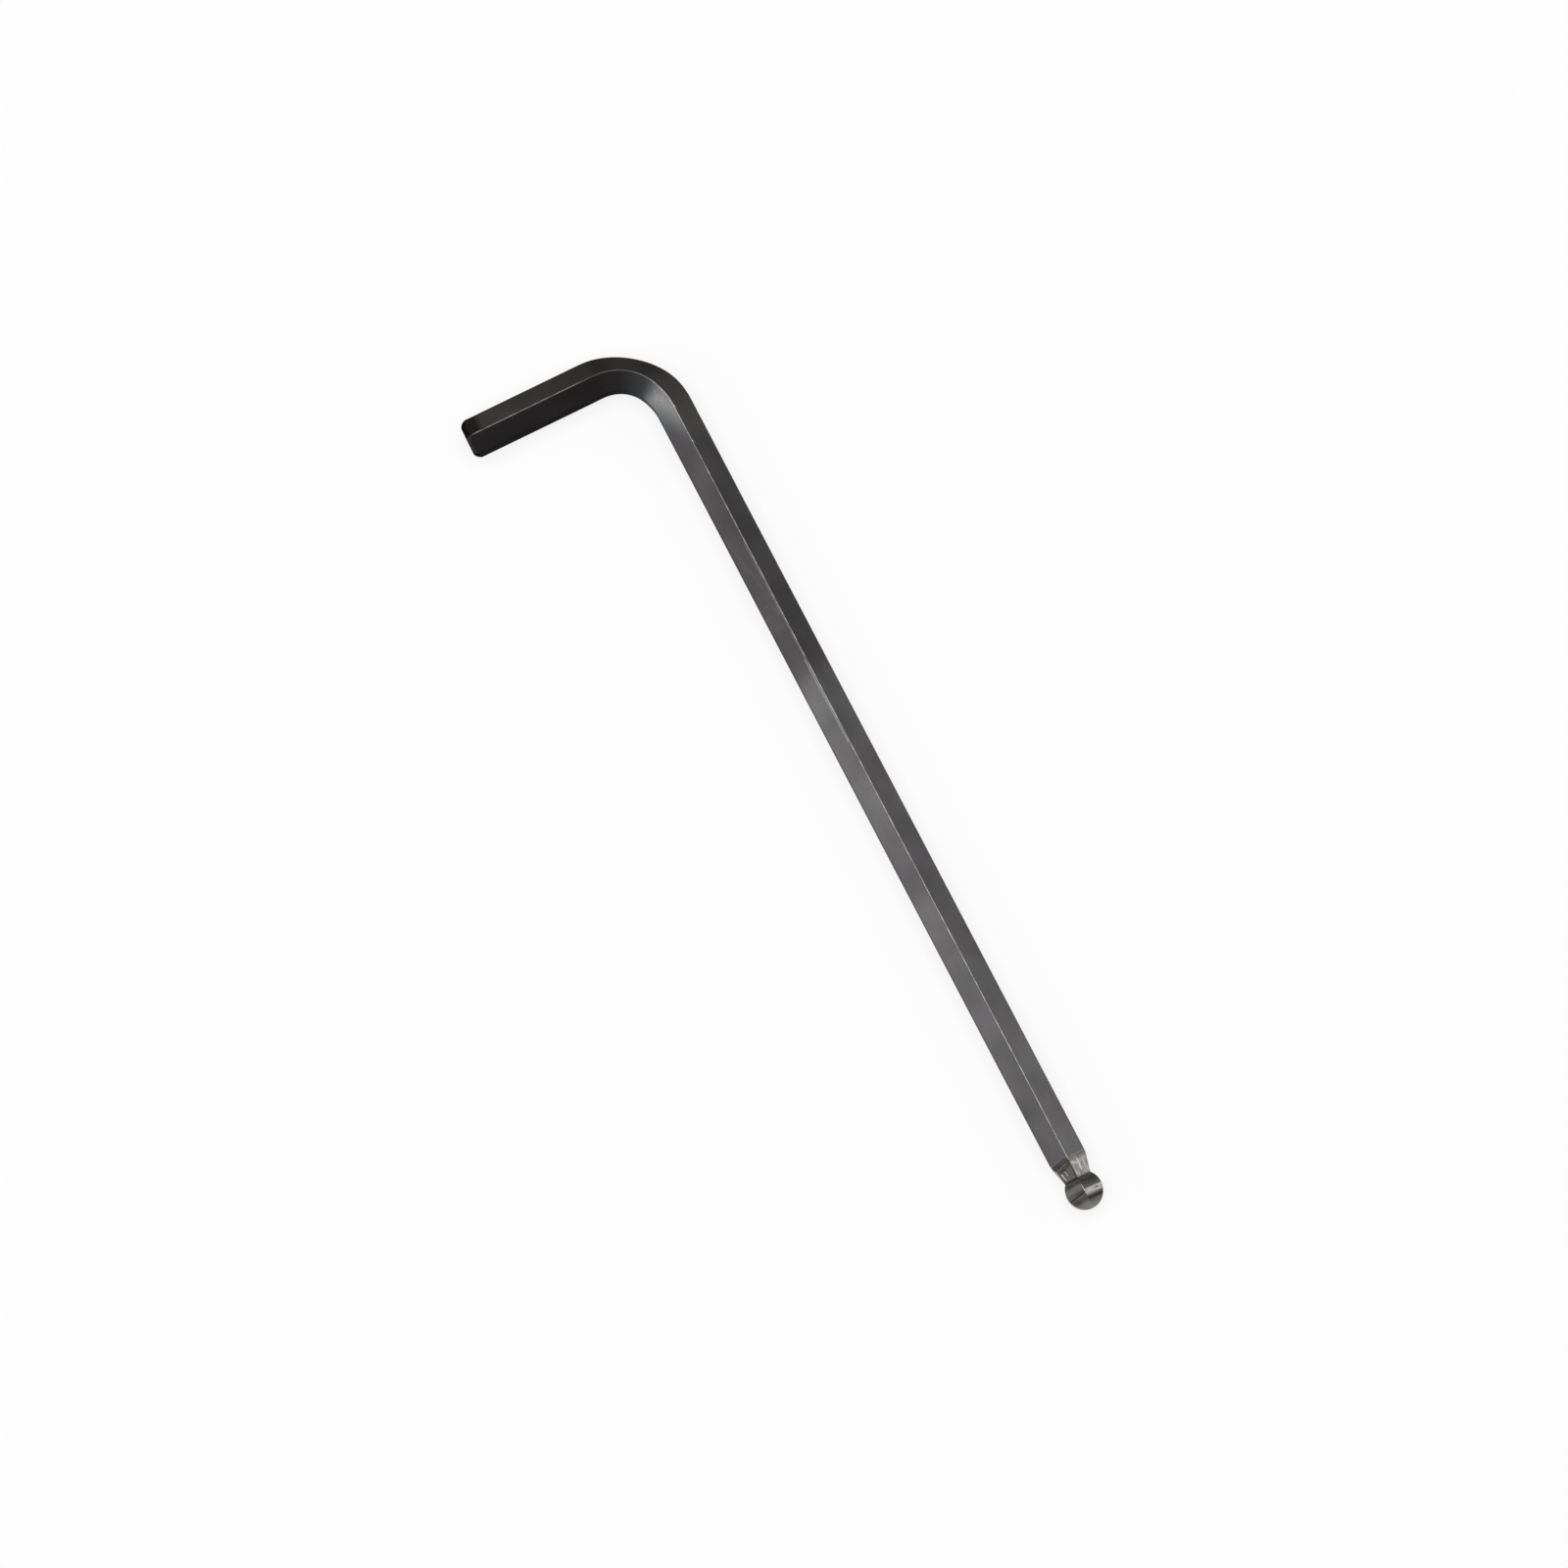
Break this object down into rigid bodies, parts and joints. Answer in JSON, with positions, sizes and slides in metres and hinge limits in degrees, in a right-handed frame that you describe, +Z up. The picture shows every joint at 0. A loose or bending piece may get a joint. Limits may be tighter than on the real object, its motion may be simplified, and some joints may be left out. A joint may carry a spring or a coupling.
{
  "type": "hex key",
  "caption": "L-shaped hexagon key bent from steel bar, with a plain chamfered hexagon on the short arm and a necked ball end on the long arm.",
  "frame": {"origin": "middle of the key's outline in plan, on the surface that the key lies on", "axes": "+X along the long arm towards the ball end, -Y along the short arm, +Z up from the surface it lies on"},
  "size_m": [0.2106, 0.0466, 0.0091],
  "materials": {
    "black_steel": "satin black oxide on drawn alloy steel, bare bright line along the ridges"
  },
  "bodies": {
    "root": {"hex_key": "black_steel"}
  },
  "joints": []
}
